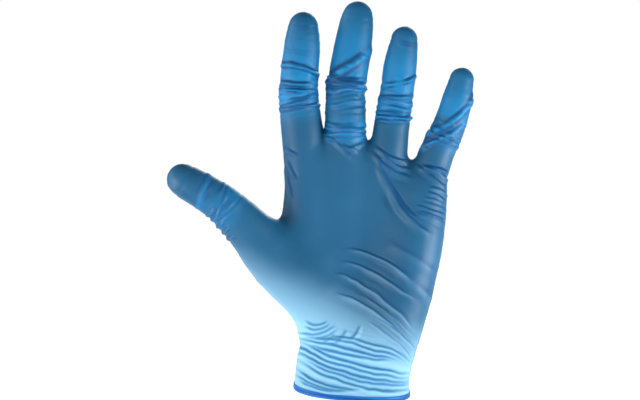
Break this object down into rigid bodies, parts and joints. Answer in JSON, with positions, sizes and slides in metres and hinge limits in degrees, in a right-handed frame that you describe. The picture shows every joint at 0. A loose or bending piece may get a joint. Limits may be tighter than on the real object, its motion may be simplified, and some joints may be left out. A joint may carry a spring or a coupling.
{
  "type": "disposable rubber glove",
  "caption": "Thin blue disposable nitrile glove in its worn shape for a left hand, palm forward, with a rolled cuff bead and stalls that bend at the knuckles.",
  "frame": {"origin": "centre of the glove's mouth, in the middle of the rolled bead", "axes": "+Z from the mouth to the fingertips, -Y the way the palm faces, -X towards the thumb"},
  "size_m": [0.1838, 0.0569, 0.235],
  "materials": {
    "nitrile_film": "satin, smooth thin film",
    "rolled_bead": "satin, rolled film"
  },
  "bodies": {
    "cuff": {"rolled_bead": "rolled_bead", "cuff_sleeve": "nitrile_film", "wrist_fold": "nitrile_film"},
    "hand": {"palm": "nitrile_film", "back_of_hand": "nitrile_film", "index_finger_base_fold": "nitrile_film", "middle_finger_base_fold": "nitrile_film", "ring_finger_base_fold": "nitrile_film", "little_finger_base_fold": "nitrile_film", "thumb_base_fold": "nitrile_film"},
    "index_finger_lower": {"index_finger_lower_tube": "nitrile_film", "index_finger_mid_fold": "nitrile_film"},
    "index_finger_upper": {"index_finger_upper_tube": "nitrile_film", "index_finger_end_fold": "nitrile_film"},
    "index_finger_tip": {"index_finger_tip": "nitrile_film"},
    "middle_finger_lower": {"middle_finger_lower_tube": "nitrile_film", "middle_finger_mid_fold": "nitrile_film"},
    "middle_finger_upper": {"middle_finger_upper_tube": "nitrile_film", "middle_finger_end_fold": "nitrile_film"},
    "middle_finger_tip": {"middle_finger_tip": "nitrile_film"},
    "ring_finger_lower": {"ring_finger_lower_tube": "nitrile_film", "ring_finger_mid_fold": "nitrile_film"},
    "ring_finger_upper": {"ring_finger_upper_tube": "nitrile_film", "ring_finger_end_fold": "nitrile_film"},
    "ring_finger_tip": {"ring_finger_tip": "nitrile_film"},
    "little_finger_lower": {"little_finger_lower_tube": "nitrile_film", "little_finger_mid_fold": "nitrile_film"},
    "little_finger_upper": {"little_finger_upper_tube": "nitrile_film", "little_finger_end_fold": "nitrile_film"},
    "little_finger_tip": {"little_finger_tip": "nitrile_film"},
    "thumb_lower": {"thumb_lower_tube": "nitrile_film", "thumb_end_fold": "nitrile_film"},
    "thumb_tip": {"thumb_tip": "nitrile_film"}
  },
  "joints": [
    {"name": "wrist_bend", "type": "hinge", "parent": "cuff", "child": "hand", "pos_m": [0.00345, -0.00099, 0.03], "axis": [1, 0, 0], "range_deg": [-40, 40], "stiffness_Nm_per_rad": 0.02, "deforming": ["wrist_fold"]},
    {"name": "index_finger_base_bend", "type": "hinge", "parent": "hand", "child": "index_finger_lower", "pos_m": [-0.02918, -0.00376, 0.15693], "axis": [0.9999, 0, -0.0149], "range_deg": [-10, 60], "stiffness_Nm_per_rad": 0.001, "deforming": ["index_finger_base_fold"]},
    {"name": "index_finger_mid_bend", "type": "hinge", "parent": "index_finger_lower", "child": "index_finger_upper", "pos_m": [-0.03121, -0.00498, 0.17767], "axis": [0.9999, 0, -0.0149], "range_deg": [0, 80], "stiffness_Nm_per_rad": 0.001, "deforming": ["index_finger_mid_fold"]},
    {"name": "index_finger_end_bend", "type": "hinge", "parent": "index_finger_upper", "child": "index_finger_tip", "pos_m": [-0.02941, -0.00795, 0.19993], "axis": [0.9999, 0, -0.0149], "range_deg": [0, 48], "stiffness_Nm_per_rad": 0.001, "deforming": ["index_finger_end_fold"]},
    {"name": "middle_finger_base_bend", "type": "hinge", "parent": "hand", "child": "middle_finger_lower", "pos_m": [-0.00331, -0.00367, 0.15898], "axis": [0.9939, 0, -0.1102], "range_deg": [-10, 60], "stiffness_Nm_per_rad": 0.001, "deforming": ["middle_finger_base_fold"]},
    {"name": "middle_finger_mid_bend", "type": "hinge", "parent": "middle_finger_lower", "child": "middle_finger_upper", "pos_m": [-0.00303, -0.00449, 0.17975], "axis": [0.9939, 0, -0.1102], "range_deg": [0, 80], "stiffness_Nm_per_rad": 0.001, "deforming": ["middle_finger_mid_fold"]},
    {"name": "middle_finger_end_bend", "type": "hinge", "parent": "middle_finger_upper", "child": "middle_finger_tip", "pos_m": [0.00075, -0.00697, 0.20253], "axis": [0.9939, 0, -0.1102], "range_deg": [0, 48], "stiffness_Nm_per_rad": 0.001, "deforming": ["middle_finger_end_fold"]},
    {"name": "ring_finger_base_bend", "type": "hinge", "parent": "hand", "child": "ring_finger_lower", "pos_m": [0.02334, -0.00375, 0.15144], "axis": [0.9907, 0, -0.1363], "range_deg": [-10, 60], "stiffness_Nm_per_rad": 0.001, "deforming": ["ring_finger_base_fold"]},
    {"name": "ring_finger_mid_bend", "type": "hinge", "parent": "ring_finger_lower", "child": "ring_finger_upper", "pos_m": [0.02615, -0.00498, 0.17115], "axis": [0.9907, 0, -0.1363], "range_deg": [0, 80], "stiffness_Nm_per_rad": 0.001, "deforming": ["ring_finger_mid_fold"]},
    {"name": "ring_finger_end_bend", "type": "hinge", "parent": "ring_finger_upper", "child": "ring_finger_tip", "pos_m": [0.02892, -0.00795, 0.19192], "axis": [0.9907, 0, -0.1363], "range_deg": [0, 48], "stiffness_Nm_per_rad": 0.001, "deforming": ["ring_finger_end_fold"]},
    {"name": "little_finger_base_bend", "type": "hinge", "parent": "hand", "child": "little_finger_lower", "pos_m": [0.05024, -0.00488, 0.14209], "axis": [0.9559, 0, -0.2937], "range_deg": [-10, 60], "stiffness_Nm_per_rad": 0.001, "deforming": ["little_finger_base_fold"]},
    {"name": "little_finger_mid_bend", "type": "hinge", "parent": "little_finger_lower", "child": "little_finger_upper", "pos_m": [0.05707, -0.00647, 0.15709], "axis": [0.9559, 0, -0.2937], "range_deg": [0, 80], "stiffness_Nm_per_rad": 0.001, "deforming": ["little_finger_mid_fold"]},
    {"name": "little_finger_end_bend", "type": "hinge", "parent": "little_finger_upper", "child": "little_finger_tip", "pos_m": [0.06182, -0.00895, 0.17293], "axis": [0.9559, 0, -0.2937], "range_deg": [0, 48], "stiffness_Nm_per_rad": 0.001, "deforming": ["little_finger_end_fold"]},
    {"name": "thumb_base_bend", "type": "hinge", "parent": "hand", "child": "thumb_lower", "pos_m": [-0.05466, -0.01466, 0.09282], "axis": [0.231, 0.7805, 0.5809], "range_deg": [-10, 25], "stiffness_Nm_per_rad": 0.001, "deforming": ["thumb_base_fold"]},
    {"name": "thumb_end_bend", "type": "hinge", "parent": "thumb_lower", "child": "thumb_tip", "pos_m": [-0.07366, -0.02109, 0.11203], "axis": [0.231, 0.7805, 0.5809], "range_deg": [0, 45], "stiffness_Nm_per_rad": 0.001, "deforming": ["thumb_end_fold"]}
  ],
  "couplings": [
    {"joint": "index_finger_end_bend", "follows": "index_finger_mid_bend", "ratio": 0.6},
    {"joint": "middle_finger_end_bend", "follows": "middle_finger_mid_bend", "ratio": 0.6},
    {"joint": "ring_finger_end_bend", "follows": "ring_finger_mid_bend", "ratio": 0.6},
    {"joint": "little_finger_end_bend", "follows": "little_finger_mid_bend", "ratio": 0.6}
  ]
}
